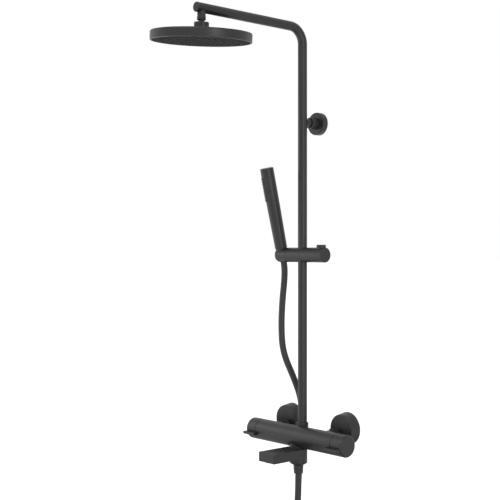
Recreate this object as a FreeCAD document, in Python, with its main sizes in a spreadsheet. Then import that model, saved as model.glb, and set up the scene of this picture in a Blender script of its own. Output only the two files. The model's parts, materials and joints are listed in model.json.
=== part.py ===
"""A wall shower column: thermostatic bar mixer with a swivelling bath spout, a bent riser with a
rain head on a ball joint, a sliding handset holder, a stick handset and its hose.

Millimetres. The wall is the plane y = 0 and the column stands out from it towards -Y. The origin is
midway between the two wall outlets, +X is to the right as seen by a person facing the wall, and
+Z is up.
"""

import FreeCAD, Part
import math
import os
import re

import Sketcher
from FreeCAD import Placement, Rotation, Vector

os.makedirs("parts", exist_ok=True)
doc = FreeCAD.newDocument("shower_column")

# ---------------------------------------------------------------- driving dimensions

DIMENSIONS = {
    # where the main axes run
    "inlet_gap": 150.0,  # between the mixer's two inlets
    "outlet_gap": 168.0,  # between the two wall outlets
    "riser_out": 52.0,  # riser axis to wall
    "barrel_out": 64.0,  # mixer axis to wall
    "barrel_drop": 21.6,  # mixer axis below the wall outlets
    "arm_up": 844.7,  # arm axis above the wall outlets
    "head_out": 325.0,  # rain head axis to wall
    "bracket_up": 645.0,
    "slider_up": 363.0,
    "holder_x": 61.0,  # handset axis to the left of the riser
    "handset_lean": 14.0,  # degrees forward of vertical
    # pipe
    "pipe_od": 19.5,
    "pipe_wall": 1.2,
    "bend_rad": 35.0,
    "arm_end_out": 336.0,
    "pipe_foot": 11.5,  # pipe end below the wall outlets
    # mixer barrel and handles
    "barrel_od": 45.4,
    "barrel_half": 113.3,
    "handle_from": 114.5,
    "handle_to": 143.7,
    "chamber_rad": 17.0,
    "chamber_from": 60.0,
    "gallery_rad": 9.0,
    "handle_skin": 3.4,
    "handle_face": 6.0,
    "handle_hub_rad": 8.0,
    "handle_hub_from": 121.0,
    "handle_round": 4.2,
    "lever_front": 33.0,  # lever edge in front of the barrel axis
    "lever_back": 18.0,
    "lever_top": 3.5,  # below the barrel axis
    "lever_thick": 5.5,
    "lever_inward": 8.0,  # how far it reaches past the handle over the barrel
    "lever_to": 141.0,
    "spindle_rad": 5.0,
    "spindle_from": 88.0,
    "spindle_to": 133.0,
    "grub_rad": 2.0,
    # water inlets
    "neck_rad": 11.0,
    "neck_bore": 8.8,
    "neck_drop": 11.0,  # inlet neck axis below the wall outlet
    "neck_end_out": 37.0,
    "tail_rad": 8.9,
    "union_collar_rad": 10.9,
    "union_block_rad": 12.5,
    "union_bore": 6.5,
    "inlet_thread_rad": 10.48,  # half-inch pipe thread
    "inlet_thread_deep": 16.0,
    "rosette_rad": 34.0,
    "rosette_front_rad": 30.5,
    "rosette_deep": 23.0,
    "rosette_skin": 2.0,
    # riser foot
    "boss_rad": 12.7,
    "boss_top": 1.4,  # above the wall outlets, just over the barrel
    "foot_nut_top": 7.5,
    # spout
    "spout_reach": 92.0,
    "spout_wide": 46.5,
    "spout_thick": 19.5,
    "spout_top": 44.9,  # below the wall outlets
    "hub_rad": 19.0,
    "hub_top": 44.6,
    "hub_bottom": 75.2,
    "core_rad": 12.0,
    "hub_cap_bottom": 81.2,
    "hose_nut_rad": 10.8,
    "hose_nut_bottom": 99.0,
    "hose_seat": 96.0,
    "aerator_back": 13.0,  # aerator axis behind the spout's tip
    "aerator_rad": 10.5,
    # bracket
    "bracket_neck_rad": 8.75,
    "bracket_collar_rad": 12.0,
    "bracket_rosette_rad": 24.2,
    "bracket_rosette_deep": 13.0,
    "bracket_screw_gap": 31.0,
    "bracket_screw_rad": 2.5,
    # ball joint and rain head, heights from the ball's centre
    "ball_up": 809.5,
    "ball_rad": 10.5,
    "seat_in": 10.75,
    "seat_out": 11.75,
    "socket_rad": 12.05,
    "stud_neck_rad": 5.8,
    "stud_collar_rad": 8.75,
    "socket_nut_rad": 14.75,
    "socket_lip_rad": 9.8,
    "socket_nut_top": 7.0,
    "head_rad": 100.0,
    "head_top": 12.5,
    "head_bottom": 30.5,
    "face_rad": 96.8,
    "face_thick": 2.5,
    "nozzle_rad": 1.9,
    "nozzle_step": 15.6,  # between rings of nozzles
    # slider, handset holder and handset
    "slider_rad": 15.7,
    "slider_right": 68.3,
    "slider_left": 37.7,
    "holder_from": 38.3,
    "holder_to": 71.0,
    "button_x": 56.0,
    "button_rad": 9.8,
    "button_top": 21.4,  # above the slider axis
    "button_foot": 10.0,
    "cone_top": 16.0,  # along the handset axis, from the slider axis
    "cone_bottom": 14.0,
    "cone_top_rad": 12.6,
    "cone_bottom_rad": 9.2,
    "cone_gap": 0.35,
    "handset_long": 191.5,
    "handset_low_rad": 13.2,
    "handset_mid_rad": 14.2,
    "handset_top_rad": 14.5,
    "handset_bore": 10.2,
    "strip_low": 120.0,
    "strip_high": 173.0,
    "strip_half": 11.0,
    "strip_floor": 12.4,
    "strip_face": 15.0,
    # hose
    "hose_od": 14.0,
}

dims = doc.addObject("Spreadsheet::Sheet", "dims")
for row, (alias, number) in enumerate(DIMENSIONS.items(), 1):
    dims.set(f"A{row}", alias)
    dims.set(f"B{row}", str(number))
    dims.setAlias(f"B{row}", alias)
doc.recompute()


def bound(text):
    """An expression in the sheet's aliases, in the form that the document reads."""
    return re.sub(r"[a-z][a-z_]+", lambda word: "dims." + word.group(0), str(text))


def value(text):
    return float(dims.evalExpression(bound(text)))


def bind(thing, name, text):
    thing.setExpression(name, bound(text))


# ---------------------------------------------------------------- building blocks

UPRIGHT = Rotation()
TO_RIGHT = Rotation(Vector(0, 1, 0), 90)
TO_LEFT = Rotation(Vector(0, 1, 0), -90)
TO_WALL = Rotation(Vector(1, 0, 0), -90)
TO_FRONT = Rotation(Vector(1, 0, 0), 90)

# The rain head hangs a few degrees out of level, about a level line through the ball's centre.
HEAD_TILT = Rotation(Vector(0.4156, 0.9095, 0), 6.4)
HANDSET_TURN = Rotation(Vector(1, 0, 0), value("handset_lean"))

HEAD_AT = ("0", "-head_out", "ball_up")
SLIDER_AT = ("0", "-riser_out", "slider_up")
HANDSET_AT = ("-holder_x", "-riser_out - 1.5", "slider_up")
RISER_AT = ("0", "-riser_out", "0")
HUB_AT = ("0", "-barrel_out", "0")
BARREL_AT = ("0", "-barrel_out", "-barrel_drop")
BRACKET_AT = ("0", "0", "bracket_up")

nodes = {}


def keep(thing, label):
    """Names a finished sub-part."""
    thing.Label = label
    nodes[label] = thing
    return thing


def put(thing, at, turn=UPRIGHT):
    """Places a thing at a point given as three expressions."""
    thing.Placement = Placement(Vector(*(value(text) for text in at)), turn)
    for axis, text in zip("xyz", at):
        bind(thing, f"Placement.Base.{axis}", text)
    return thing


def shifted(at, turn, along):
    """The point that lies a distance along a turned piece's own axis from another point."""
    way = turn.multVec(Vector(0, 0, 1))
    parts = []
    for text, share in zip(at, way):
        share = round(share, 9)
        parts.append(text if abs(share) < 1e-9 else f"{text} + ({share}) * ({along})")
    return tuple(parts)


def rod(radius, long, at, turn=UPRIGHT):
    thing = doc.addObject("Part::Cylinder", "rod")
    bind(thing, "Radius", radius)
    bind(thing, "Height", long)
    return put(thing, at, turn)


def ball(radius, at, low=None, high=None):
    thing = doc.addObject("Part::Sphere", "ball")
    bind(thing, "Radius", radius)
    if low is not None:
        thing.Angle1 = low
        thing.Angle2 = high
    return put(thing, at)


def loop_ring(radius, thick, at, turn=UPRIGHT):
    thing = doc.addObject("Part::Torus", "ring")
    bind(thing, "Radius1", radius)
    bind(thing, "Radius2", thick)
    return put(thing, at, turn)


def block(size, at, turn=UPRIGHT):
    thing = doc.addObject("Part::Box", "block")
    for name, text in zip(("Length", "Width", "Height"), size):
        bind(thing, name, text)
    return put(thing, at, turn)


def fused(*things):
    thing = doc.addObject("Part::MultiFuse", "fused")
    thing.Shapes = list(things)
    thing.Refine = True
    return thing


def cut(base, *tools):
    thing = doc.addObject("Part::Cut", "cut")
    thing.Base = base
    thing.Tool = tools[0] if len(tools) == 1 else fused(*tools)
    thing.Refine = True
    return thing


def common(one, other):
    thing = doc.addObject("Part::Common", "common")
    thing.Base = one
    thing.Tool = other
    return thing


def plane_of(body, role):
    return next(item for item in body.Origin.OriginFeatures if item.Role == role)


def sketch_on(body, role, name):
    sketch = body.newObject("Sketcher::SketchObject", name)
    sketch.AttachmentSupport = [(plane_of(body, role), "")]
    sketch.MapMode = "FlatFace"
    return sketch


def draw_outline(sketch, outline):
    """A closed outline of straight edges, each corner held by two bound distances."""
    spots = [Vector(value(across), value(up), 0) for across, up in outline]
    last = len(spots)
    for index, spot in enumerate(spots):
        sketch.addGeometry(Part.LineSegment(spot, spots[(index + 1) % last]), False)
    for index in range(last):
        sketch.addConstraint(Sketcher.Constraint("Coincident", index, 2, (index + 1) % last, 1))
    for index, (across, up) in enumerate(outline):
        for kind, text in (("DistanceX", across), ("DistanceY", up)):
            number = sketch.addConstraint(
                Sketcher.Constraint(kind, -1, 1, index, 1, value(text))
            )
            bind(sketch, f"Constraints[{number}]", text)


def draw_circle(sketch, across, up, radius):
    centre = Vector(value(across), value(up), 0)
    round_edge = Part.Circle(centre, Vector(0, 0, 1), value(radius))
    index = sketch.addGeometry(round_edge, False)
    for kind, text in (("DistanceX", across), ("DistanceY", up)):
        number = sketch.addConstraint(Sketcher.Constraint(kind, -1, 1, index, 3, value(text)))
        bind(sketch, f"Constraints[{number}]", text)
    number = sketch.addConstraint(Sketcher.Constraint("Radius", index, value(radius)))
    bind(sketch, f"Constraints[{number}]", radius)


def rim_names(shape, radius, height):
    """The names of a turned piece's round edges with that radius at that height."""
    found = []
    for index, edge in enumerate(shape.Edges, 1):
        curve = edge.Curve
        if curve.TypeId != "Part::GeomCircle":
            continue
        if abs(curve.Radius - radius) < 0.01 and abs(curve.Center.z - height) < 0.01:
            found.append(f"Edge{index}")
    return found


def turned(name, outline, at, turn=UPRIGHT, rounds=()):
    """A piece spun about its own Z axis from an outline of (radius, height) expressions.
    rounds are the rims to round: (radius, height, rounding)."""
    body = doc.addObject("PartDesign::Body", name)
    sketch = sketch_on(body, "XZ_Plane", f"{name}_outline")
    draw_outline(sketch, outline)
    spin = body.newObject("PartDesign::Revolution", f"{name}_spin")
    spin.Profile = sketch
    spin.ReferenceAxis = (sketch, ["V_Axis"])
    spin.Angle = 360
    for radius, height, rounding in rounds:
        doc.recompute()
        base = body.Tip
        names = rim_names(base.Shape, value(radius), value(height))
        if not names:
            raise ValueError(f"{name} has no rim of {radius} at {height}")
        soft = body.newObject("PartDesign::Fillet", f"{name}_round")
        soft.Base = (base, names)
        bind(soft, "Radius", rounding)
    put(body, at, turn)
    return body


def tube(name, inner, outer, low, high, at, turn=UPRIGHT, rounds=()):
    outline = [(inner, low), (outer, low), (outer, high), (inner, high)]
    return turned(name, outline, at, turn, rounds)


def around(body, feature, count):
    """Repeats a feature evenly round its body's Z axis."""
    ring = body.newObject("PartDesign::PolarPattern", f"{feature.Name}_ring")
    ring.Originals = [feature]
    ring.Axis = (plane_of(body, "Z_Axis"), [""])
    ring.Angle = 360
    ring.Occurrences = count
    body.Tip = ring
    return ring


def hole_ring(body, name, radius, hole, count):
    """A ring of straight holes through a plate, one of them on its own X axis."""
    sketch = sketch_on(body, "XY_Plane", f"{name}_place")
    draw_circle(sketch, radius, "0", hole)
    pocket = body.newObject("PartDesign::Pocket", name)
    pocket.Profile = sketch
    pocket.Type = 1
    pocket.Midplane = True
    if count > 1:
        around(body, pocket, count)


# ---------------------------------------------------------------- mixer

def mixer_body():
    back = "-barrel_out"
    barrel_from = ("-barrel_half", back, "-barrel_drop")
    barrel = rod("barrel_od / 2", "2 * barrel_half", barrel_from, TO_RIGHT)
    seat = rod("hub_rad - 0.2", "barrel_od / 2", ("0", back, "-barrel_drop - barrel_od / 2"))
    boss = rod("boss_rad", "barrel_drop + boss_top", ("0", "-riser_out", "-barrel_drop"))
    solids = [barrel, seat, boss]
    hollows = [
        rod(
            "gallery_rad",
            "2 * chamber_from + 2",
            ("-chamber_from - 1", back, "-barrel_drop"),
            TO_RIGHT,
        ),
        rod("pipe_od / 2 + 0.05", "20", ("0", "-riser_out", "-pipe_foot - 0.2")),
        rod("7", "barrel_drop", ("0", "-riser_out", "-barrel_drop")),
        rod("core_rad + 0.05", "8", ("0", back, "-barrel_drop - barrel_od / 2")),
        rod("6", "barrel_od / 2", ("0", back, "-barrel_drop - barrel_od / 2")),
    ]
    for side, turn in ((-1, TO_LEFT), (1, TO_RIGHT)):
        neck_at = (f"{side} * inlet_gap / 2", back, "-neck_drop")
        solids.append(rod("neck_rad", "barrel_out - neck_end_out", neck_at, TO_WALL))
        hollows.append(
            rod("chamber_rad", "60", (f"{side} * chamber_from", back, "-barrel_drop"), turn)
        )
        hollows.append(rod("neck_bore", "barrel_out - neck_end_out + 1", neck_at, TO_WALL))
    keep(cut(fused(*solids), *hollows), "mixer_body")


def cartridge(name, turn, ports):
    """A cartridge in a chamber of the barrel, with a band of water ports and a spindle's bore."""
    skin = "chamber_rad - 0.2"
    inner = "chamber_rad - 4"
    outline = [
        ("9", "62"),
        (skin, "62"),
        (skin, f"{ports}"),
        (inner, f"{ports}"),
        (inner, f"{ports} + 9"),
        (skin, f"{ports} + 9"),
        (skin, "105"),
        ("spindle_rad + 0.06", "105"),
        ("spindle_rad + 0.06", "85"),
        ("9", "85"),
    ]
    keep(turned(name, outline, BARREL_AT, turn), name)


def cartridges():
    cartridge("thermostatic_cartridge", TO_RIGHT, "70")
    cartridge("diverter_cartridge", TO_LEFT, "71")
    rings = [
        tube("cartridge_nut", "8", "chamber_rad - 0.05", "105.2", "109.2", BARREL_AT, turn)
        for turn in (TO_LEFT, TO_RIGHT)
    ]
    keep(compound(rings), "cartridge_nuts")


def compound(things):
    """Separate solids kept together as one sub-part."""
    thing = doc.addObject("Part::Compound", "group")
    thing.Links = things
    return thing


def handle(label, turn, side):
    """One end handle: a cup on the spindle, its lever plate, its spindle and its grub screw."""
    cup = turned(
        f"{label}_cup",
        [
            ("barrel_od / 2 - handle_skin", "handle_from"),
            ("barrel_od / 2", "handle_from"),
            ("barrel_od / 2", "handle_to"),
            ("0", "handle_to"),
            ("0", "spindle_to + 0.1"),
            ("spindle_rad + 0.02", "spindle_to + 0.1"),
            ("spindle_rad + 0.02", "handle_hub_from"),
            ("handle_hub_rad", "handle_hub_from"),
            ("handle_hub_rad", "handle_to - handle_face"),
            ("barrel_od / 2 - handle_skin", "handle_to - handle_face"),
        ],
        BARREL_AT,
        turn,
        rounds=[("barrel_od / 2", "handle_to", "handle_round")],
    )
    inner = "handle_from + 0.5" if side > 0 else "-lever_to"
    lever_size = ("lever_to - handle_from - 0.5", "lever_front - lever_back", "lever_thick")
    lever_at = (inner, "-barrel_out - lever_front", "-barrel_drop - lever_top - lever_thick")
    wing_x = "handle_from - lever_inward" if side > 0 else "-handle_from - 1"
    wing = block(("lever_inward + 1", lever_size[1], lever_size[2]), (wing_x, *lever_at[1:]))
    sweep_from = ("-handle_to", "-barrel_out", "-barrel_drop")
    sweep = rod("barrel_od / 2 + 0.4", "2 * handle_to", sweep_from, TO_RIGHT)
    grub_x = f"{side} * 127"
    grub_at = (grub_x, "-barrel_out", "-barrel_drop - barrel_od / 2 + 0.6")
    grub_long = "barrel_od / 2 - 0.6 - spindle_rad - 0.05"
    under = (grub_x, "-barrel_out", "-barrel_drop - barrel_od / 2")
    grub_hole = rod("grub_rad + 0.03", "barrel_od / 2", under)
    socket = rod("spindle_rad + 0.02", "14", (f"{side} * 119", "-barrel_out", "-barrel_drop"), turn)
    slotted = cut(cup, block(lever_size, lever_at), cut(grub_hole, socket))
    keep(slotted, f"{label}_handle")
    keep(fused(block(lever_size, lever_at), cut(wing, sweep)), f"{label}_lever")
    keep(rod("grub_rad", grub_long, grub_at), f"{label}_grub_screw")
    spindle = [
        ("0", "spindle_from"),
        ("spindle_rad", "spindle_from"),
        ("spindle_rad", "spindle_to"),
        ("0", "spindle_to"),
    ]
    keep(turned(f"{label}_spindle", spindle, BARREL_AT, turn), f"{label}_spindle")


def bridge(radius, low, high, front, deep):
    """A box whose round-ended outline joins two rods along Y, low and high being their (x, z)."""
    way = Vector(value(high[0]) - value(low[0]), 0, value(high[1]) - value(low[1]))
    turn = Rotation(Vector(0, 1, 0), math.degrees(math.atan2(way.x, way.z)))
    side = turn.multVec(Vector(-1, 0, 0))
    corner = (
        f"{low[0]} + ({round(side.x, 6)}) * ({radius})",
        front,
        f"{low[1]} + ({round(side.z, 6)}) * ({radius})",
    )
    return block((f"2 * ({radius})", deep, str(round(way.Length, 4))), corner, turn)


def inlet(word, side):
    """One water inlet: eccentric union, its nut and the rosette that covers it at the wall."""
    x = f"{side} * inlet_gap / 2"
    wall_x = f"{side} * outlet_gap / 2"
    low = "-neck_drop"
    tail_end = "-neck_end_out + 1"
    block_front = "-rosette_deep + 2.2"
    block_back = "-8"
    tail = rod("tail_rad", f"({block_front}) - ({tail_end}) + 1", (x, tail_end, low), TO_WALL)
    collar = rod("union_collar_rad", "3", (x, "-33.4", low), TO_WALL)
    deep = f"({block_back}) - ({block_front})"
    ends = ((x, low), (wall_x, "0"))
    lower = rod("union_block_rad", deep, (x, block_front, low), TO_WALL)
    upper = rod("union_block_rad", deep, (wall_x, block_front, "0"), TO_WALL)
    middle = bridge("union_block_rad", *ends, block_front, deep)
    thread_from = (wall_x, block_back, "0")
    thread_long = f"inlet_thread_deep - ({block_back})"
    thread = rod("inlet_thread_rad", thread_long, thread_from, TO_WALL)
    bore_front = rod("union_bore", "25", (x, tail_end, low), TO_WALL)
    bore_back = rod("union_bore", "inlet_thread_deep + 17", (wall_x, "-16", "0"), TO_WALL)
    way_across = bridge("union_bore", *ends, "-16", "5")
    solid = fused(tail, collar, lower, upper, middle, thread)
    keep(cut(solid, bore_front, bore_back, way_across), f"{word}_s_union")

    hexagon = doc.addObject("Part::Prism", "hexagon")
    hexagon.Polygon = 6
    bind(hexagon, "Circumradius", "neck_rad + 3.5")
    bind(hexagon, "Height", "12")
    put(hexagon, (x, "-39.5", low), TO_WALL)
    over_neck = rod("neck_rad + 0.05", "9.3", (x, "-39.5", low), TO_WALL)
    over_tail = rod("tail_rad + 0.1", "14", (x, "-39.5", low), TO_WALL)
    keep(cut(hexagon, over_neck, over_tail), f"{word}_union_nut")

    cover = turned(
        f"{word}_cover",
        [
            ("rosette_rad - rosette_skin", "0"),
            ("rosette_rad", "0"),
            ("rosette_front_rad", "rosette_deep"),
            ("0", "rosette_deep"),
            ("0", "rosette_deep - rosette_skin"),
            ("rosette_front_rad - rosette_skin", "rosette_deep - rosette_skin"),
        ],
        (wall_x, "0", "0"),
        TO_FRONT,
        rounds=[("rosette_front_rad", "rosette_deep", "1.8")],
    )
    opening = rod("union_collar_rad + 0.4", "10", (x, "-rosette_deep - 1", low), TO_WALL)
    keep(cut(cover, opening), f"{word}_rosette")


def inlet_inserts():
    """What sits in both inlet necks: a check valve, and a filter washer at the union."""
    valves = []
    filters = []
    for side in (-1, 1):
        at = (f"{side} * inlet_gap / 2", "0", "-neck_drop")
        valves.append(tube("check_valve", "5", "neck_bore - 0.1", "39", "46.5", at, TO_FRONT))
        back, front = "neck_end_out - 0.95", "neck_end_out - 0.05"
        filters.append(tube("filter", "5", "union_collar_rad - 0.2", back, front, at, TO_FRONT))
    keep(compound(valves), "check_valves")
    keep(compound(filters), "inlet_filters")


# ---------------------------------------------------------------- riser and arm

def pipe_solid(radius, foot, end):
    """The riser, its bend and the arm as one solid of a given radius."""
    upright = rod(radius, f"arm_up - bend_rad + ({foot})", ("0", "-riser_out", f"-({foot})"))
    elbow = doc.addObject("Part::Torus", "elbow")
    bind(elbow, "Radius1", "bend_rad")
    bind(elbow, "Radius2", radius)
    elbow.Angle3 = 90
    into_bend = Rotation(Vector(1, 1, 1), 120)
    put(elbow, ("0", "-riser_out - bend_rad", "arm_up - bend_rad"), into_bend)
    arm = rod(radius, f"({end}) - riser_out - bend_rad", ("0", f"-({end})", "arm_up"), TO_WALL)
    return fused(upright, elbow, arm)


def riser():
    outside = pipe_solid("pipe_od / 2", "pipe_foot", "arm_end_out")
    inside = pipe_solid("pipe_od / 2 - pipe_wall", "pipe_foot + 1", "arm_end_out + 1")
    drain = rod("5", "pipe_od", ("0", "-head_out", "arm_up - pipe_od"))
    keep(cut(outside, inside, drain), "riser_pipe")

    plug = turned(
        "arm_plug",
        [
            ("0", "-9"),
            ("pipe_od / 2 - pipe_wall - 0.02", "-9"),
            ("pipe_od / 2 - pipe_wall - 0.02", "0"),
            ("pipe_od / 2", "0"),
            ("pipe_od / 2", "3"),
            ("0", "3"),
        ],
        ("0", "-arm_end_out", "arm_up"),
        TO_FRONT,
        rounds=[("pipe_od / 2", "3", "1.6")],
    )
    way_out = rod("6", "pipe_od", ("0", "-head_out", "arm_up - pipe_od"))
    keep(cut(plug, way_out), "arm_end_plug")

    keep(
        tube(
            "foot_nut",
            "pipe_od / 2 + 0.05",
            "boss_rad",
            "boss_top",
            "foot_nut_top",
            RISER_AT,
            rounds=[("boss_rad", "foot_nut_top", "1.2")],
        ),
        "riser_foot_nut",
    )


def ball_joint():
    """The nipple under the arm, the ball stud in it, and the two seat rings round the ball."""
    nipple = tube("nipple", "6.6", "8.2", "827", "arm_up - 4", ("0", "-head_out", "0"))
    over_arm = rod("pipe_od / 2", "60", ("0", "-head_out - 30", "arm_up"), TO_WALL)
    keep(cut(nipple, over_arm), "arm_nipple")

    stem = turned(
        "ball_stem",
        [
            ("0", "5"),
            ("stud_neck_rad", "5"),
            ("stud_neck_rad", "11"),
            ("stud_collar_rad - 0.8", "11"),
            ("stud_collar_rad", "11.8"),
            ("stud_collar_rad", "13.2"),
            ("stud_collar_rad - 0.5", "13.6"),
            ("stud_collar_rad - 0.5", "14.2"),
            ("stud_collar_rad", "14.6"),
            ("stud_collar_rad", "17.4"),
            ("6.5", "17.4"),
            ("6.5", "24"),
            ("0", "24"),
        ],
        HEAD_AT,
    )
    knob = ball("ball_rad", HEAD_AT)
    water = rod("3.5", "40", ("0", "-head_out", "ball_up - 12"))
    keep(cut(fused(stem, knob), water), "ball_stud")

    for label, low, high in (("ball_seat_upper", 8, 28), ("ball_seat_lower", -40, -10)):
        ring = cut(ball("seat_out", HEAD_AT, low, high), ball("seat_in", HEAD_AT))
        keep(ring, label)


# ---------------------------------------------------------------- rain head

RINGS = 5  # rings of nozzles, each with six more than the one inside it


def rain_head():
    """The head's pieces, drawn about the ball's centre and hung at the head's tilt."""
    shell = turned(
        "shell",
        [
            ("5", "-18"),
            ("16", "-18"),
            ("20", "-15"),
            ("head_rad - 8", "-15.5"),
            ("head_rad - 8", "-head_bottom + face_thick + 1.2"),
            ("face_rad - 3.2", "-head_bottom + face_thick + 1.2"),
            ("face_rad - 3.2", "-head_bottom + face_thick"),
            ("face_rad + 0.1", "-head_bottom + face_thick"),
            ("face_rad + 0.1", "-head_bottom"),
            ("head_rad", "-head_bottom"),
            ("head_rad", "-head_top"),
            ("22", "-head_top + 3"),
            ("17.5", "-head_top + 4"),
            ("15.6", "-7.2"),
            ("socket_nut_rad - 1.45", "-7.2"),
            ("socket_nut_rad - 1.45", "-1"),
            ("5", "-1"),
        ],
        HEAD_AT,
        HEAD_TILT,
        rounds=[
            ("head_rad", "-head_top", "2.5"),
            ("head_rad", "-head_bottom", "1.2"),
        ],
    )
    keep(cut(shell, ball("socket_rad", HEAD_AT)), "head_shell")

    nut = turned(
        "nut",
        [
            ("socket_nut_rad - 1.4", "-7"),
            ("socket_nut_rad", "-7"),
            ("socket_nut_rad", "socket_nut_top"),
            ("socket_lip_rad", "socket_nut_top"),
            ("socket_lip_rad", "-0.8"),
            ("socket_nut_rad - 1.4", "-0.8"),
        ],
        HEAD_AT,
        HEAD_TILT,
        rounds=[("socket_nut_rad", "socket_nut_top", "1")],
    )
    keep(cut(nut, ball("socket_rad", HEAD_AT)), "socket_nut")

    face = turned(
        "face",
        [
            ("0", "-head_bottom"),
            ("face_rad", "-head_bottom"),
            ("face_rad", "-head_bottom + face_thick"),
            ("0", "-head_bottom + face_thick"),
        ],
        HEAD_AT,
        HEAD_TILT,
    )
    mat_low = "-head_bottom + face_thick + 0.05"
    mat = turned(
        "mat",
        [
            ("0", mat_low),
            ("face_rad - 5.5", mat_low),
            ("face_rad - 5.5", "-head_bottom + face_thick + 1.5"),
            ("0", "-head_bottom + face_thick + 1.5"),
        ],
        HEAD_AT,
        HEAD_TILT,
    )
    hole_ring(face, "face_hole", "0", "nozzle_rad + 0.1", 1)
    mat_peg = "head_bottom + 1.6"
    peg_ring_from(mat, "mat_peg", "0", 1, mat_peg)
    for ring in range(1, RINGS + 1):
        radius = f"{ring} * nozzle_step"
        hole_ring(face, f"face_hole_{ring}", radius, "nozzle_rad + 0.1", 6 * ring)
        peg_ring_from(mat, f"mat_peg_{ring}", radius, 6 * ring, mat_peg)
    keep(face, "spray_face")
    keep(mat, "rain_nozzles")

    gasket = tube(
        "gasket",
        "face_rad - 4.6",
        "face_rad - 3.3",
        "-head_bottom + face_thick + 0.02",
        "-head_bottom + face_thick + 1.15",
        HEAD_AT,
        HEAD_TILT,
    )
    keep(gasket, "face_gasket")
    keep(tube("regulator", "1.6", "4.9", "-17", "-13.5", HEAD_AT, HEAD_TILT), "flow_regulator")


def peg_ring_from(body, name, radius, count, low):
    """A ring of nozzles that hang from the mat through the spray face."""
    sketch = sketch_on(body, "XY_Plane", f"{name}_place")
    draw_circle(sketch, radius, "0", "nozzle_rad")
    bind(sketch, "AttachmentOffset.Base.z", "-head_bottom + face_thick + 1")
    pad = body.newObject("PartDesign::Pad", name)
    pad.Profile = sketch
    pad.Reversed = True
    bind(pad, "Length", f"({low}) - head_bottom + face_thick + 1")
    if count > 1:
        around(body, pad, count)


# ---------------------------------------------------------------- wall bracket

def bracket():
    collar_front = "32"
    neck = turned(
        "neck",
        [
            ("0", "15"),
            ("6.8", "15"),
            ("6.8", "32.2"),
            ("bracket_neck_rad", "32.2"),
            ("bracket_neck_rad", "46"),
            ("0", "46"),
        ],
        BRACKET_AT,
        TO_FRONT,
    )
    round_pipe = rod("pipe_od / 2", "40", ("0", "-riser_out", "bracket_up - 20"))
    keep(cut(neck, round_pipe), "bracket_neck")

    collar = turned(
        "collar",
        [
            ("6.85", "6"),
            ("8.8", "6"),
            ("8.8", "bracket_rosette_deep"),
            ("bracket_collar_rad", "bracket_rosette_deep"),
            ("bracket_collar_rad", "24.5"),
            ("bracket_collar_rad - 1.2", "25.2"),
            ("bracket_collar_rad - 1.2", "27.2"),
            ("bracket_collar_rad", "27.9"),
            ("bracket_collar_rad", collar_front),
            ("6.85", collar_front),
        ],
        BRACKET_AT,
        TO_FRONT,
        rounds=[("bracket_collar_rad", collar_front, "1")],
    )
    grub_at = ("0", "-19", "bracket_up - bracket_collar_rad")
    hole = rod("grub_rad + 0.03", "bracket_collar_rad - 3", grub_at)
    keep(cut(collar, hole), "bracket_collar")
    screw_at = ("0", "-19", "bracket_up - bracket_collar_rad + 0.5")
    keep(rod("grub_rad", "bracket_collar_rad - 0.5 - 6.82", screw_at), "bracket_grub_screw")

    cover = turned(
        "cover",
        [
            ("bracket_rosette_rad - 2", "0"),
            ("bracket_rosette_rad", "0"),
            ("bracket_rosette_rad", "bracket_rosette_deep"),
            ("9", "bracket_rosette_deep"),
            ("9", "bracket_rosette_deep - 2"),
            ("bracket_rosette_rad - 2", "bracket_rosette_deep - 2"),
        ],
        BRACKET_AT,
        TO_FRONT,
        rounds=[("bracket_rosette_rad", "bracket_rosette_deep", "1.5")],
    )
    keep(cover, "bracket_rosette")

    plate = turned(
        "plate",
        [
            ("8.85", "0"),
            ("20", "0"),
            ("20", "3.5"),
            ("11", "3.5"),
            ("11", "10.5"),
            ("8.85", "10.5"),
        ],
        BRACKET_AT,
        TO_FRONT,
    )
    half = "bracket_screw_gap / 2"
    screws = []
    holes = []
    for side in (-1, 1):
        z = f"bracket_up + {side} * ({half})"
        holes.append(rod("bracket_screw_rad + 0.2", "10", ("0", "-5", z), TO_WALL))
        shank = rod("bracket_screw_rad", "11", ("0", "0", z), TO_WALL)
        neck = rod("bracket_screw_rad - 0.2", "5", ("0", "-4", z), TO_WALL)
        head = rod("4.3", "2.4", ("0", "-5.95", z), TO_WALL)
        screws.append(fused(shank, neck, head))
    keep(cut(plate, *holes), "bracket_wall_plate")
    keep(compound(screws), "bracket_wall_screws")


# ---------------------------------------------------------------- bath spout and hose outlet

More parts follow.
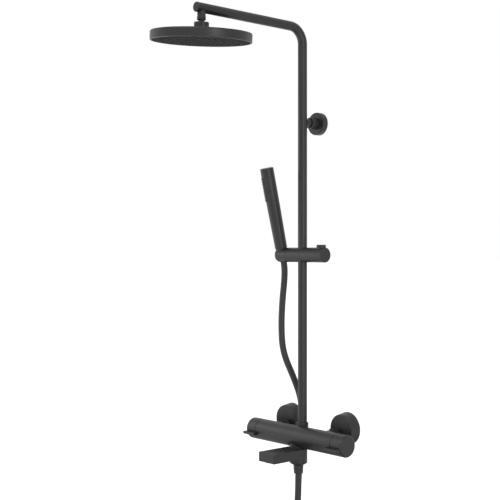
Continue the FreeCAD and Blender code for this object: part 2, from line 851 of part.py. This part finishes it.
def spout():
    tip = "-barrel_out - spout_reach"
    bar = block(
        ("spout_wide", "spout_reach + 2", "spout_thick"),
        ("-spout_wide / 2", tip, "-spout_top - spout_thick"),
    )
    hub = rod("hub_rad", "hub_bottom - hub_top", ("0", "-barrel_out", "-hub_bottom"))
    aerator_y = f"{tip} + aerator_back"
    outer = doc.addObject("Part::Fillet", "spout_edges")
    solid = fused(bar, hub)
    doc.recompute()
    outer.Base = solid
    soft = []
    for index, edge in enumerate(solid.Shape.Edges, 1):
        middle = edge.CenterOfMass
        if edge.Curve.TypeId == "Part::GeomLine" and middle.y < value(tip) + 1:
            soft.append((index, 1.2, 1.2))
    outer.Edges = soft
    hollow = cut(
        outer,
        rod("core_rad + 0.06", "40", ("0", "-barrel_out", "-hub_bottom - 2")),
        rod("core_rad + 2.5", "9", ("0", "-barrel_out", "-58.5")),
        rod("5.5", "spout_reach - aerator_back", ("0", aerator_y, "-54"), TO_WALL),
        rod("aerator_rad + 0.05", "9.5", ("0", aerator_y, "-spout_top - spout_thick")),
    )
    keep(hollow, "bath_spout")

    aerator = turned(
        "aerator_body",
        [
            ("0", "1.5"),
            ("aerator_rad - 1.5", "1.5"),
            ("aerator_rad - 1.5", "-1"),
            ("aerator_rad", "-1"),
            ("aerator_rad", "9"),
            ("aerator_rad - 1.5", "9"),
            ("aerator_rad - 1.5", "3"),
            ("0", "3"),
        ],
        ("0", aerator_y, "-spout_top - spout_thick"),
    )
    hole_ring(aerator, "jet", "0", "0.9", 1)
    hole_ring(aerator, "jets_in", "3.2", "0.9", 6)
    hole_ring(aerator, "jets_out", "6.4", "0.9", 12)
    keep(aerator, "aerator")

    core = turned(
        "core",
        [
            ("6", "-88"),
            ("9", "-88"),
            ("9", "-hub_bottom - 0.3"),
            ("core_rad", "-hub_bottom - 0.3"),
            ("core_rad", "-71.2"),
            ("core_rad - 2", "-71.2"),
            ("core_rad - 2", "-68.8"),
            ("core_rad", "-68.8"),
            ("core_rad", "-48.2"),
            ("core_rad - 2", "-48.2"),
            ("core_rad - 2", "-45.8"),
            ("core_rad", "-45.8"),
            ("core_rad", "-36.5"),
            ("6", "-36.5"),
        ],
        HUB_AT,
    )
    port = rod("4", "20", ("0", "-barrel_out - 20", "-54"), TO_WALL)
    keep(cut(core, port), "spout_core")
    seals = [
        loop_ring("core_rad - 1", "0.98", ("0", "-barrel_out", height)) for height in ("-70", "-47")
    ]
    keep(compound(seals), "spout_o_rings")

    cap = turned(
        "cap",
        [
            ("9.05", "-hub_cap_bottom"),
            ("hose_nut_rad + 0.4", "-hub_cap_bottom"),
            ("hub_rad", "-hub_bottom - 1.2"),
            ("hub_rad", "-hub_bottom - 0.4"),
            ("9.05", "-hub_bottom - 0.4"),
        ],
        HUB_AT,
    )
    keep(cap, "hub_end_cap")

    nut = turned(
        "lower_nut",
        [
            ("hose_od / 2 + 0.3", "-hose_nut_bottom"),
            ("hose_nut_rad - 1.4", "-hose_nut_bottom"),
            ("hose_nut_rad - 0.8", "-hose_nut_bottom + 1.4"),
            ("hose_nut_rad", "-hub_cap_bottom - 0.1"),
            ("9.05", "-hub_cap_bottom - 0.1"),
            ("9.05", "-90.1"),
            ("5", "-90.1"),
            ("5", "-hose_seat"),
            ("hose_od / 2 + 0.3", "-hose_seat"),
        ],
        HUB_AT,
    )
    keep(nut, "lower_hose_nut")
    keep(tube("lower_washer", "5.5", "8.8", "-90", "-88.05", HUB_AT), "lower_hose_washer")


# ---------------------------------------------------------------- slider and handset

def slider():
    left_end = ("-slider_left", "-riser_out", "slider_up")
    body = rod("slider_rad", "slider_right + slider_left", left_end, TO_RIGHT)
    soft_end = doc.addObject("Part::Fillet", "slider_edge")
    doc.recompute()
    soft_end.Base = body
    end_x = value("slider_right")
    soft_end.Edges = [
        (index, 1.2, 1.2)
        for index, edge in enumerate(body.Shape.Edges, 1)
        if edge.Curve.TypeId == "Part::GeomCircle" and edge.CenterOfMass.x > end_x - 1
    ]
    shaped = cut(
        soft_end,
        rod("pipe_od / 2 + 1.1", "40", ("0", "-riser_out", "slider_up - 20")),
        rod("5.1", "30", ("-slider_left - 5", "-riser_out", "slider_up"), TO_RIGHT),
        rod("6.15", "46", ("5", "-riser_out", "slider_up"), TO_RIGHT),
        rod("button_rad + 0.2", "30", ("button_x", "-riser_out", "slider_up - 8")),
    )
    keep(shaped, "slider_body")
    bush = tube("bush", "pipe_od / 2 + 0.06", "pipe_od / 2 + 1.05", "-11", "11", SLIDER_AT)
    shoe_way = rod("6.5", "20", ("5", "-riser_out", "slider_up"), TO_RIGHT)
    pin_way = rod("5.3", "20", ("-20", "-riser_out", "slider_up"), TO_RIGHT)
    keep(cut(bush, shoe_way, pin_way), "slider_bush")

    button = turned(
        "button",
        [
            ("3.2", "2"),
            ("4.6", "2"),
            ("4.6", "button_foot - 2"),
            ("button_rad", "button_foot - 2"),
            ("button_rad", "button_top"),
            ("0", "button_top"),
            ("0", "button_foot + 2"),
            ("3.2", "button_foot + 2"),
        ],
        ("button_x", "-riser_out", "slider_up"),
        rounds=[("button_rad", "button_top", "1")],
    )
    keep(button, "slider_button")

    shoe = rod("6", "37", ("7", "-riser_out", "slider_up"), TO_RIGHT)
    clear = rod("pipe_od / 2 + 0.03", "20", ("0", "-riser_out", "slider_up - 10"))
    keep(cut(shoe, clear), "brake_shoe")
    spring_at = ("button_x", "-riser_out", "slider_up")
    spring_wire("button_spring", "2.2", "0.35", "-7.6", "11.6", spring_at)


def spring_wire(label, radius, wire, low, high, at):
    """A coil spring that stands on its own Z axis between two heights."""
    coil = doc.addObject("Part::Helix", "coil")
    bind(coil, "Radius", radius)
    bind(coil, "Height", f"({high}) - ({low})")
    bind(coil, "Pitch", f"(({high}) - ({low})) / 8")
    put(coil, (at[0], at[1], f"{at[2]} + ({low})"))
    section = doc.addObject("Part::Circle", "wire_section")
    bind(section, "Radius", wire)
    put(section, (f"{at[0]} + {radius}", at[1], f"{at[2]} + ({low})"), TO_WALL)
    spring = doc.addObject("Part::Sweep", "spring")
    spring.Sections = [section]
    spring.Spine = (coil, ["Edge1"])
    spring.Solid = True
    spring.Frenet = True
    keep(spring, label)


def cone_radius(place):
    """The hose cone's radius at a distance along the handset axis from the slider axis."""
    share = f"(({place}) + cone_bottom) / (cone_top + cone_bottom)"
    return f"cone_bottom_rad + (cone_top_rad - cone_bottom_rad) * {share}"


def holder():
    body = rod(
        "slider_rad", "holder_to - holder_from", ("-holder_to", "-riser_out", "slider_up"), TO_RIGHT
    )
    soft_end = doc.addObject("Part::Fillet", "holder_edge")
    doc.recompute()
    soft_end.Base = body
    soft_end.Edges = [
        (index, 1.2, 1.2)
        for index, edge in enumerate(body.Shape.Edges, 1)
        if edge.Curve.TypeId == "Part::GeomCircle" and edge.CenterOfMass.x < -value("holder_to") + 1
    ]
    low, high = "-25", "25"
    bore = turned(
        "holder_bore",
        [
            ("0", low),
            (f"{cone_radius(low)} + cone_gap", low),
            (f"{cone_radius(high)} + cone_gap", high),
            ("0", high),
        ],
        HANDSET_AT,
        HANDSET_TURN,
    )
    pin_hole = rod("5.02", "8", ("-45.5", "-riser_out", "slider_up"), TO_RIGHT)
    keep(cut(soft_end, bore, pin_hole), "handset_holder")
    keep(rod("5", "27", ("-45", "-riser_out", "slider_up"), TO_RIGHT), "holder_pivot_pin")


def handset():
    top = "handset_long - 8"
    shell = turned(
        "stick",
        [
            ("6", "4.1"),
            ("8.6", "4.1"),
            ("8.6", "cone_top + 0.1"),
            ("handset_low_rad", "cone_top + 0.1"),
            ("handset_mid_rad", "110"),
            ("handset_top_rad", top),
            ("handset_bore", top),
            ("handset_bore", "cone_top + 6"),
            ("6", "cone_top + 6"),
        ],
        HANDSET_AT,
        HANDSET_TURN,
    )
    window = front_block("strip_half", "strip_low", "strip_high", "strip_floor")
    keep(cut(shell, window), "handset_shell")

    strip_outer = tube(
        "strip_tube",
        "strip_floor",
        "strip_face",
        "strip_low",
        "strip_high",
        HANDSET_AT,
        HANDSET_TURN,
    )
    strip = common(strip_outer, front_block("strip_half", "strip_low", "strip_high", "strip_floor"))
    pieces = [strip]
    for row in range(10):
        for angle in (-34, 0, 34):
            pieces.append(handset_jet(row, angle))
    keep(fused(*pieces), "handset_spray_strip")

    cap = turned(
        "end_cap",
        [
            ("0", f"{top} + 0.05"),
            ("handset_top_rad", f"{top} + 0.05"),
            ("handset_top_rad", "handset_long"),
            ("0", "handset_long"),
        ],
        HANDSET_AT,
        HANDSET_TURN,
        rounds=[("handset_top_rad", "handset_long", "2")],
    )
    keep(cap, "handset_end_cap")

    nut = turned(
        "cone_nut",
        [
            ("hose_od / 2 + 0.3", "-cone_bottom"),
            ("cone_bottom_rad", "-cone_bottom"),
            ("cone_top_rad", "cone_top"),
            ("8.65", "cone_top"),
            ("8.65", "1.9"),
            ("5", "1.9"),
            ("5", "-cone_bottom + 2.5"),
            ("hose_od / 2 + 0.3", "-cone_bottom + 2.5"),
        ],
        HANDSET_AT,
        HANDSET_TURN,
    )
    keep(nut, "hose_cone_nut")
    washer = tube("upper_washer", "5.5", "8.4", "1.95", "4", HANDSET_AT, HANDSET_TURN)
    keep(washer, "upper_hose_washer")


def front_block(half, low, high, depth):
    """A box in front of the handset's core, between two heights, with the core left out."""
    at = shifted(HANDSET_AT, HANDSET_TURN, low)
    corner_shift = HANDSET_TURN.multVec(Vector(-value(half), -30, 0))
    corner = tuple(
        f"{text} + ({round(step, 6)})" for text, step in zip(at, corner_shift)
    )
    front = block((f"2 * {half}", "30", f"({high}) - ({low})"), corner, HANDSET_TURN)
    foot = shifted(HANDSET_AT, HANDSET_TURN, f"{low} - 1")
    core = rod(depth, f"({high}) - ({low}) + 2", foot, HANDSET_TURN)
    return cut(front, core)


def handset_jet(row, angle):
    """One rubber nozzle of the handset's spray strip."""
    height = value("strip_low") + 4 + row * (value("strip_high") - value("strip_low") - 8) / 9
    around_axis = HANDSET_TURN.multiply(Rotation(Vector(0, 0, 1), angle))
    outward = around_axis.multiply(Rotation(Vector(1, 0, 0), 90))
    local = Vector(0, -value("strip_face") + 1, height)
    spot = around_axis.multVec(local)
    at = tuple(f"{text} + ({round(step, 6)})" for text, step in zip(HANDSET_AT, spot))
    thing = doc.addObject("Part::Cone", "jet")
    thing.Radius1 = 1.1
    thing.Radius2 = 0.8
    thing.Height = 2.1
    return put(thing, at, outward)


# ---------------------------------------------------------------- hose

HOSE_ROUTE = [
    (-61.0, -50.71, 351.8),
    (-61.0, -46.84, 336.3),
    (-61.8, -46.8, 308.0),
    (-64.0, -51.0, 264.0),
    (-65.0, -53.5, 205.0),
    (-62.0, -51.0, 150.0),
    (-39.0, -38.5, 94.0),
    (-23.0, -31.5, 48.0),
    (-24.0, -31.0, -15.0),
    (-35.0, -25.0, -75.0),
    (-43.6, -22.0, -125.0),
    (-44.5, -23.0, -190.0),
    (-44.0, -27.0, -290.0),
    (-42.0, -36.0, -385.0),
    (-41.0, -64.0, -432.0),
    (-38.0, -110.0, -452.0),
    (-31.0, -156.0, -439.0),
    (-24.0, -187.0, -393.0),
    (-17.0, -182.0, -330.0),
    (-11.0, -148.0, -275.0),
    (-6.0, -104.0, -240.0),
    (-1.0, -71.0, -200.0),
    (0.0, -64.0, -148.0),
    (0.0, -64.0, -96.03),
]


def hose():
    """The hose: straight runs joined by tangent arcs, each as large as its two runs allow."""
    points = [Vector(*point) for point in HOSE_ROUTE]
    edges = []
    start = points[0]
    for before, corner, after in zip(points, points[1:], points[2:]):
        into = (corner - before).normalize()
        out = (after - corner).normalize()
        half_turn = into.getAngle(out) / 2
        trim = 0.45 * min((corner - before).Length, (after - corner).Length)
        radius = trim / math.tan(half_turn)
        inward = (out - into).normalize()
        middle = corner + inward * (radius / math.cos(half_turn) - radius)
        arc_start = corner - into * trim
        arc_end = corner + out * trim
        edges.append(Part.LineSegment(start, arc_start).toShape())
        edges.append(Part.Arc(arc_start, middle, arc_end).toShape())
        start = arc_end
        print(f"hose turn {math.degrees(2 * half_turn):5.1f} degrees, radius {radius:6.1f}")
    edges.append(Part.LineSegment(start, points[-1]).toShape())
    path = Part.Wire(edges)
    radius = value("hose_od") / 2
    first = (points[1] - points[0]).normalize()
    section = Part.Wire([Part.Circle(points[0], first, radius).toShape()])
    solid = path.makePipeShell([section], True, False)
    expected = math.pi * radius**2 * path.Length
    print(f"hose length {path.Length:.1f}, volume ratio {solid.Volume / expected:.4f}")
    thing = doc.addObject("Part::Feature", "hose")
    thing.Shape = solid
    keep(thing, "shower_hose")


# ---------------------------------------------------------------- assembly

mixer_body()
cartridges()
handle("flow", TO_LEFT, -1)
handle("temperature", TO_RIGHT, 1)
inlet("left", -1)
inlet("right", 1)
inlet_inserts()
riser()
ball_joint()
rain_head()
bracket()
spout()
slider()
holder()
handset()
hose()

doc.recompute()
for thing in doc.Objects:
    if "Invalid" in thing.State or "Error" in thing.State:
        raise RuntimeError(f"{thing.Label} ({thing.Name}) failed: {thing.State}")
for label, thing in nodes.items():
    shape = thing.Shape
    if shape.isNull() or not shape.isValid() or not shape.Solids:
        raise RuntimeError(f"{label} has no valid solid")
for label, thing in nodes.items():
    thing.Shape.exportStep(f"parts/{label}.step")
print(f"{len(nodes)} sub-parts written")
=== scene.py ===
"""The looks of the shower column: its materials, hose, spring, stage, light and camera."""

import json
import math

import bpy
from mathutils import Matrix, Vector


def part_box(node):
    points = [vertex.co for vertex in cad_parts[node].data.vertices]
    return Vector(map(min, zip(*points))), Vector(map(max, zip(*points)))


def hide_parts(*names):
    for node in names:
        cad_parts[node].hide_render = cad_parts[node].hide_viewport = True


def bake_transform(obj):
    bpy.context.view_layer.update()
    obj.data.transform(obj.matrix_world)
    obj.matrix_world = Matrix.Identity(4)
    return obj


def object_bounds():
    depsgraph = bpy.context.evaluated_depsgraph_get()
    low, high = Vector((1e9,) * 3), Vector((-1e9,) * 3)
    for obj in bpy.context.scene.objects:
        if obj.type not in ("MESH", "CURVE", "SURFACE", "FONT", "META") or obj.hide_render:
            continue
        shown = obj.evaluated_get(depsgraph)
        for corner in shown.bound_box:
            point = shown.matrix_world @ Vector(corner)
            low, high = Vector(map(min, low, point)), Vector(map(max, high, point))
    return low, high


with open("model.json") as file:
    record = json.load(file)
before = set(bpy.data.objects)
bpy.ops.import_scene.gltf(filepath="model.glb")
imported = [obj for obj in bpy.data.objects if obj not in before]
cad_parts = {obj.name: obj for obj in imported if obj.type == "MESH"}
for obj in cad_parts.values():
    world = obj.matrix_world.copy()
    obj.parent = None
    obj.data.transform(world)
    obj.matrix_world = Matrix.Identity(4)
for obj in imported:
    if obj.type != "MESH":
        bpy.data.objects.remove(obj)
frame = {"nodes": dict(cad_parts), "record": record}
cad_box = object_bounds()
scene = bpy.context.scene

# ---------------------------------------------------------------- camera

VIEW_AZIMUTH = 49.0  # degrees round from straight in front
VIEW_DISTANCE = 2.094
VIEW_AIM = Vector((-0.0733, -0.1362, 0.3735))
LENS_MM = 70.9
SENSOR_MM = 36.0
FARTHEST_SEEN = 100.0


def make_camera():
    """A level camera in front of the column and to its right."""
    data = bpy.data.cameras.new("camera")
    data.lens = LENS_MM
    data.sensor_width = SENSOR_MM
    data.clip_end = FARTHEST_SEEN
    camera = bpy.data.objects.new("camera", data)
    turn = math.radians(VIEW_AZIMUTH)
    camera.location = VIEW_AIM + Vector((math.sin(turn), -math.cos(turn), 0.0)) * VIEW_DISTANCE
    camera.rotation_euler = (math.radians(90.0), 0.0, turn)
    scene.collection.objects.link(camera)
    scene.camera = camera


make_camera()

# ---------------------------------------------------------------- hose

HOSE_DIAMETER = 0.014
HOSE_SIDES = 32
HOSE_STEPS = 16  # points to each stretch of the route
HOSE_ORDER = 3  # of the spline along the route
HANDSET_REACH = 0.009  # how far under the holder the hose's top length ends
HOLDER_REACH = 0.25  # the height down to which the hose's middle length runs

# The hose's route from the handset's nut down, round its loop and up to the mixer's outlet.
HOSE_ROUTE = [
    (-0.0610, -0.05071, 0.3518),
    (-0.0610, -0.04684, 0.3363),
    (-0.0618, -0.0468, 0.3080),
    (-0.0640, -0.0510, 0.2640),
    (-0.0650, -0.0535, 0.2050),
    (-0.0620, -0.0510, 0.1500),
    (-0.0390, -0.0385, 0.0940),
    (-0.0230, -0.0315, 0.0480),
    (-0.0240, -0.0310, -0.0150),
    (-0.0350, -0.0250, -0.0750),
    (-0.0436, -0.0220, -0.1250),
    (-0.0445, -0.0230, -0.1900),
    (-0.0440, -0.0270, -0.2900),
    (-0.0420, -0.0360, -0.3850),
    (-0.0410, -0.0640, -0.4320),
    (-0.0380, -0.1100, -0.4520),
    (-0.0310, -0.1560, -0.4390),
    (-0.0240, -0.1870, -0.3930),
    (-0.0170, -0.1820, -0.3300),
    (-0.0110, -0.1480, -0.2750),
    (-0.0060, -0.1040, -0.2400),
    (-0.0010, -0.0710, -0.2000),
    (0.0000, -0.0640, -0.1480),
    (0.0000, -0.0640, -0.09603),
]


def smooth_line(route, steps):
    """The points of a NURBS spline that has the route's points as its control points."""
    curve = bpy.data.curves.new("route", "CURVE")
    curve.dimensions = "3D"
    spline = curve.splines.new("NURBS")
    spline.points.add(len(route) - 1)
    for point, place in zip(spline.points, route):
        point.co = (*place, 1.0)
    spline.order_u = HOSE_ORDER
    spline.use_endpoint_u = True
    spline.resolution_u = steps
    holder = bpy.data.objects.new("route", curve)
    mesh = bpy.data.meshes.new_from_object(holder)
    line = [vertex.co.copy() for vertex in mesh.vertices]
    bpy.data.meshes.remove(mesh)
    bpy.data.curves.remove(curve)
    return line


def rings_round(line, radius, sides):
    """Rings of points round a line, each turned no more than the line itself turns."""
    rings = []
    across = Vector((1.0, 0.0, 0.0))
    for index, centre in enumerate(line):
        before = line[max(index - 1, 0)]
        after = line[min(index + 1, len(line) - 1)]
        along = (after - before).normalized()
        across = (across - along * across.dot(along)).normalized()
        other = along.cross(across)
        ring = []
        for side in range(sides):
            angle = 2.0 * math.pi * side / sides
            ring.append(centre + (across * math.cos(angle) + other * math.sin(angle)) * radius)
        rings.append(ring)
    return rings


def tube_piece(name, rings):
    """A closed tube through rings of points, with a flat cap and a sharp rim at each end."""
    sides = len(rings[0])
    points = [point for ring in rings for point in ring]
    last = len(points) - sides
    faces = []
    for row in range(len(rings) - 1):
        for side in range(sides):
            beside = (side + 1) % sides
            low, high = row * sides, (row + 1) * sides
            faces.append((low + side, low + beside, high + beside, high + side))
    faces.append(tuple(reversed(range(sides))))
    faces.append(tuple(range(last, last + sides)))
    mesh = bpy.data.meshes.new(name)
    mesh.from_pydata(points, [], faces)
    mesh.validate()
    mesh.shade_smooth()
    rims = {
        frozenset((first + side, first + (side + 1) % sides))
        for first in (0, last)
        for side in range(sides)
    }
    for edge in mesh.edges:
        edge.use_edge_sharp = frozenset(edge.vertices) in rims
    piece = bpy.data.objects.new(name, mesh)
    scene.collection.objects.link(piece)
    return piece


def cut_at_height(line, height):
    """The index of the line's first point at or below a height, going down from its start."""
    return next(index for index, point in enumerate(line) if point.z <= height)


def make_hose():
    """The hose in three lengths, cut under the holder and at a given height below it."""
    line = smooth_line(HOSE_ROUTE, HOSE_STEPS)
    rings = rings_round(line, HOSE_DIAMETER / 2, HOSE_SIDES)
    below_holder = cut_at_height(line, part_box("handset_holder")[0].z - HANDSET_REACH)
    hanging = cut_at_height(line, HOLDER_REACH)
    top = tube_piece("hose_top", rings[: below_holder + 1])
    bend = tube_piece("hose_bend", rings[below_holder : hanging + 1])
    main = tube_piece("hose", rings[hanging:])
    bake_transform(top)
    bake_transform(bend)
    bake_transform(main)
    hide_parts("shower_hose")
    return [top, bend, main]


hose_pieces = make_hose()

# ---------------------------------------------------------------- spring


def make_spring():
    """The button's spring, as a copy of the part's own mesh, which takes the part's place."""
    plain = frame["nodes"]["button_spring"]
    coil = bpy.data.objects.new("spring_coil", plain.data.copy())
    coil.matrix_world = plain.matrix_world
    scene.collection.objects.link(coil)
    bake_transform(coil)
    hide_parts("button_spring")
    return coil


spring_piece = make_spring()

# ---------------------------------------------------------------- materials

NOISE_LOW = 0.3  # most of a noise texture's values are between these two
NOISE_HIGH = 0.7
COOLNESS = 1.03  # how much more blue than red the greys have
MOULD_GRAIN = 0.0006  # the size of the texture on moulded plastic


def node(tree, kind, **inputs):
    """A shader node with its named inputs set, or linked where an input is a socket."""
    made = tree.nodes.new(kind)
    for name, given in inputs.items():
        socket = made.inputs[name.replace("_", " ")]
        if isinstance(given, bpy.types.NodeSocket):
            tree.links.new(given, socket)
        else:
            socket.default_value = given
    return made


def start_material(name):
    """A new material with its tree, its shader and the object's own coordinates."""
    material = bpy.data.materials.new(name)
    material.use_nodes = True
    tree = material.node_tree
    tree.nodes.clear()
    shader = tree.nodes.new("ShaderNodeBsdfPrincipled")
    output = tree.nodes.new("ShaderNodeOutputMaterial")
    tree.links.new(shader.outputs["BSDF"], output.inputs["Surface"])
    place = tree.nodes.new("ShaderNodeTexCoord").outputs["Object"]
    return material, tree, shader, place


def noise(tree, place, scale, detail=2.0, roughness=0.5):
    """A noise pattern, with its scale in changes to the metre."""
    made = node(
        tree, "ShaderNodeTexNoise", Vector=place, Scale=scale, Detail=detail, Roughness=roughness
    )
    return made.outputs["Fac"]


def ranged(tree, pattern, low, high):
    """A noise pattern stretched to run from low to high."""
    made = node(
        tree,
        "ShaderNodeMapRange",
        Value=pattern,
        From_Min=NOISE_LOW,
        From_Max=NOISE_HIGH,
        To_Min=low,
        To_Max=high,
    )
    return made.outputs["Result"]


def mixed(tree, share, one, other):
    """A colour that a share takes from one colour to another."""
    made = tree.nodes.new("ShaderNodeMix")
    made.data_type = "RGBA"
    sockets = {socket.identifier: socket for socket in made.inputs}
    tree.links.new(share, sockets["Factor_Float"])
    sockets["A_Color"].default_value = (*one, 1.0)
    sockets["B_Color"].default_value = (*other, 1.0)
    return next(item for item in made.outputs if item.identifier == "Result_Color")


def colour_by(tree, shader, pattern, dark, light):
    """Makes the shader's colour change between two colours with a pattern."""
    share = ranged(tree, pattern, 0.0, 1.0)
    tree.links.new(mixed(tree, share, dark, light), shader.inputs["Base Color"])


def gloss_by(tree, shader, pattern, low, high):
    """Makes the shader's roughness change between two values with a pattern."""
    tree.links.new(ranged(tree, pattern, low, high), shader.inputs["Roughness"])


def bumped(tree, shader, pattern, strength, depth):
    """Gives the shader's surface a fine relief, with its depth in metres."""
    bump = node(tree, "ShaderNodeBump", Height=pattern, Strength=strength, Distance=depth)
    tree.links.new(bump.outputs["Normal"], shader.inputs["Normal"])


def grey(level):
    """A nearly neutral grey."""
    return (level, level, level * COOLNESS)


def coated_black(name, level, rough, specular, grain=0.0004, depth=0.00002):
    """A satin black coat: a fine grain, soft cloudy changes of shade and a trace of handling."""
    material, tree, shader, place = start_material(name)
    clouds = noise(tree, place, scale=14.0, detail=3.0)
    colour_by(tree, shader, clouds, grey(level * 0.9), grey(level * 1.1))
    smears = noise(tree, place, scale=45.0, detail=4.0, roughness=0.6)
    gloss_by(tree, shader, smears, rough - 0.035, rough + 0.035)
    shader.inputs["Specular IOR Level"].default_value = specular
    bumped(tree, shader, noise(tree, place, scale=1.0 / grain), strength=0.35, depth=depth)
    return material


def machined(name, colour, rough):
    """Bare metal with fine turning marks."""
    material, tree, shader, place = start_material(name)
    stretch = node(tree, "ShaderNodeMapping", Vector=place, Scale=(1.0, 1.0, 9.0))
    marks = noise(tree, stretch.outputs["Vector"], scale=260.0, detail=3.0, roughness=0.7)
    colour_by(tree, shader, marks, tuple(part * 0.82 for part in colour), colour)
    gloss_by(tree, shader, marks, rough - 0.06, rough + 0.08)
    shader.inputs["Metallic"].default_value = 1.0
    bumped(tree, shader, marks, strength=0.2, depth=0.00002)
    return material


def moulded(name, colour, rough, specular=0.5):
    """Moulded plastic with a fine texture from its mould."""
    material, tree, shader, place = start_material(name)
    clouds = noise(tree, place, scale=30.0)
    colour_by(tree, shader, clouds, tuple(part * 0.92 for part in colour), colour)
    gloss_by(tree, shader, clouds, rough - 0.03, rough + 0.03)
    shader.inputs["Specular IOR Level"].default_value = specular
    bumped(tree, shader, noise(tree, place, scale=1.0 / MOULD_GRAIN), strength=0.3, depth=0.00003)
    return material


def soft_rubber(name, level, specular=0.35):
    """Silicone or rubber: dull, with a faint bloom."""
    material, tree, shader, place = start_material(name)
    bloom = noise(tree, place, scale=80.0, detail=3.0)
    colour_by(tree, shader, bloom, grey(level * 0.85), grey(level * 1.2))
    gloss_by(tree, shader, bloom, 0.55, 0.68)
    shader.inputs["Specular IOR Level"].default_value = specular
    bumped(tree, shader, noise(tree, place, scale=1200.0), strength=0.3, depth=0.00003)
    return material


def make_materials():
    """One material for each of the record's slots."""
    return {
        "matte_black": coated_black("satin_black", level=0.012, rough=0.4, specular=0.3),
        "hose_black": coated_black(
            "hose_sheath", level=0.014, rough=0.4, specular=0.3, grain=0.0007, depth=0.00001
        ),
        "nozzle_rubber": soft_rubber("nozzle_rubber", level=0.03, specular=0.11),
        "black_plastic": moulded("black_plastic", grey(0.012), rough=0.75, specular=0.03),
        "raw_brass": machined("raw_brass", colour=(0.62, 0.47, 0.22), rough=0.3),
        "steel": machined("plain_steel", colour=(0.55, 0.55, 0.57), rough=0.28),
        "white_plastic": moulded("white_plastic", colour=(0.8, 0.8, 0.77), rough=0.45),
        "seal_rubber": soft_rubber("seal_rubber", level=0.02),
    }


materials = make_materials()


def paint(piece, slot):
    """Gives the piece its slot's material and no other."""
    piece.data.materials.clear()
    piece.data.materials.append(materials[slot])


for subpart in frame["record"]["subparts"]:
    paint(frame["nodes"][subpart["node"]], subpart["material_slot"])
for hose_piece in hose_pieces:
    paint(hose_piece, "hose_black")
paint(spring_piece, "steel")

# ---------------------------------------------------------------- stage and light

FLOOR_BELOW = 0.08  # under the object's lowest point
FLOOR_HALF = 60.0
FLOOR_ROUGHNESS = 0.9
SHADE_FROM = 0.35  # distances from the floor's middle across which its painted shadow fades to white
SHADE_TO = 1.4
PAINTED_SHADOW = (0.4, 0.4, 0.4)  # the floor's colour in its middle, a painted shadow under the object
WHITE = (0.95, 0.95, 0.95)  # and away from it
# no glow in the floor's middle, so that its painted shadow stays dark
NO_GLOW = (0.0, 0.0, 0.0)
GLOW = (0.2, 0.2, 0.2)  # the floor's own light away from its middle
MIXER_MIDDLE = (0.0, -0.064, -0.02)


def white_with_painted_shadow(name):
    """The stage's matt white, with a painted shadow: darker and without glow under the object,
    clean white away from it.
    """
    material, tree, shader, place = start_material(name)
    # Painted shadow: darker colour and no glow near the floor's middle, under the object, fading
    # to white further out.
    away = node(tree, "ShaderNodeVectorMath", Vector=place)
    away.operation = "LENGTH"
    fade = node(
        tree,
        "ShaderNodeMapRange",
        Value=away.outputs["Value"],
        From_Min=SHADE_FROM,
        From_Max=SHADE_TO,
    )
    fade.interpolation_type = "SMOOTHSTEP"
    share = fade.outputs["Result"]
    tree.links.new(mixed(tree, share, PAINTED_SHADOW, WHITE), shader.inputs["Base Color"])
    tree.links.new(mixed(tree, share, NO_GLOW, GLOW), shader.inputs["Emission Color"])
    shader.inputs["Emission Strength"].default_value = 1.0
    shader.inputs["Roughness"].default_value = FLOOR_ROUGHNESS
    return material


def make_stage():
    """A wide pale floor a little under the object, with a painted shadow beneath it."""
    mesh = bpy.data.meshes.new("floor")
    signs = ((-1, -1), (1, -1), (1, 1), (-1, 1))
    corners = [(x * FLOOR_HALF, y * FLOOR_HALF, 0.0) for x, y in signs]
    mesh.from_pydata(corners, [], [(0, 1, 2, 3)])
    floor = bpy.data.objects.new("floor", mesh)
    floor.location = (0.0, 0.0, cad_box[0].z - FLOOR_BELOW)
    floor.data.materials.append(white_with_painted_shadow("floor_white"))
    scene.collection.objects.link(floor)


def area_light(name, place, aim, size, power):
    """A rectangular light that points at its aim."""
    data = bpy.data.lights.new(name, "AREA")
    data.shape = "RECTANGLE"
    data.size, data.size_y = size
    data.energy = power
    light = bpy.data.objects.new(name, data)
    light.location = place
    light.rotation_euler = (Vector(aim) - Vector(place)).to_track_quat("-Z", "Y").to_euler()
    scene.collection.objects.link(light)


def make_light():
    """A white studio with a large light above and in front, and softer ones at the sides."""
    world = bpy.data.worlds.new("studio")
    world.use_nodes = True
    background = world.node_tree.nodes["Background"]
    background.inputs["Color"].default_value = (1.0, 1.0, 1.0, 1.0)
    background.inputs["Strength"].default_value = 1.0
    scene.world = world
    middle = (cad_box[0] + cad_box[1]) / 2
    area_light("key", place=(0.4, -2.2, 2.6), aim=middle, size=(1.6, 1.6), power=50.0)
    area_light("left", place=(-0.95, -0.7, 0.55), aim=MIXER_MIDDLE, size=(0.7, 0.5), power=2.2)
    area_light("low_left", place=(-0.9, -0.88, 0.12), aim=MIXER_MIDDLE, size=(0.9, 0.5), power=1.2)
    area_light("right", place=(2.0, -0.55, 0.5), aim=middle, size=(0.5, 1.6), power=14.0)


make_stage()
make_light()
scene.view_settings.view_transform = "Standard"
